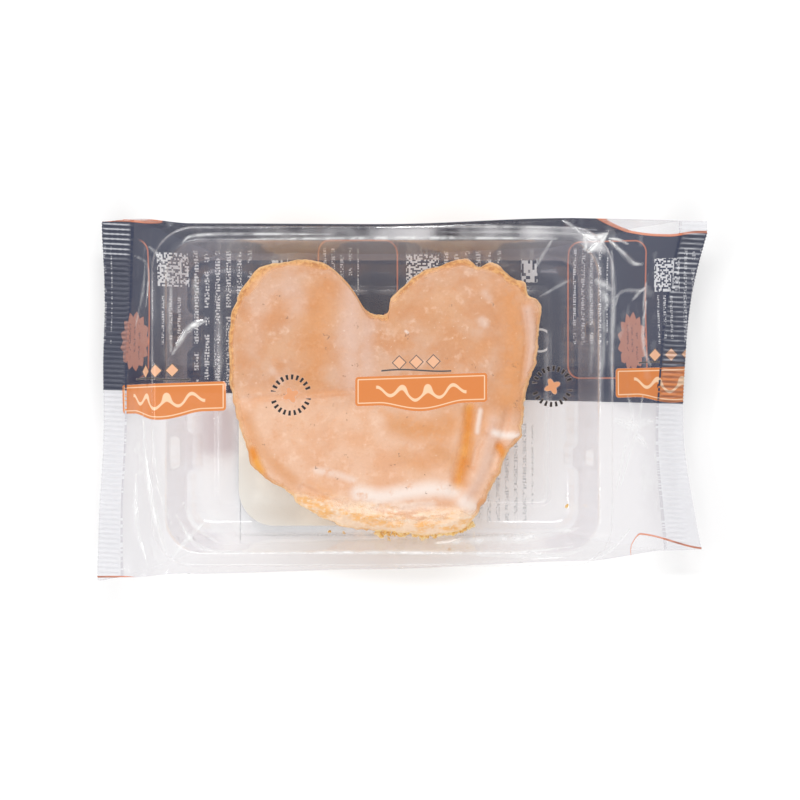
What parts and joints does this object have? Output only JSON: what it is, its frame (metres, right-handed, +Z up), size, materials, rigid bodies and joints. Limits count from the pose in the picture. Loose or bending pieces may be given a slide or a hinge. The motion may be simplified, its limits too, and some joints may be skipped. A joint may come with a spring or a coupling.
{
  "type": "packed palmier pastry",
  "caption": "Glazed heart-shaped palmier pastry in a shallow clear tray, sealed in a printed clear film bag with crimped ends.",
  "frame": {"origin": "middle of the pack's footprint, on the table", "axes": "+X along the bag towards its wider-gapped crimped end, +Y across it, +Z up out of the shown side"},
  "size_m": [0.25, 0.148, 0.0292],
  "materials": {
    "film": "clear glossy packing film, a slate band and orange labels printed on it",
    "tray": "clear thermoformed plastic, glossy",
    "pastry": "baked flaky dough, golden to light brown, dry crust",
    "glaze": "thin translucent sugar glaze, pale pinkish white, set and slightly glossy",
    "sheet": "pale greaseproof paper, matte",
    "crumbs": "dry pastry crumbs and flakes",
    "label": "orange print with a pale outline",
    "mark": "dark print, small ring of ticks"
  },
  "bodies": {
    "root": {"sealed_bag": "film"}
  },
  "joints": []
}
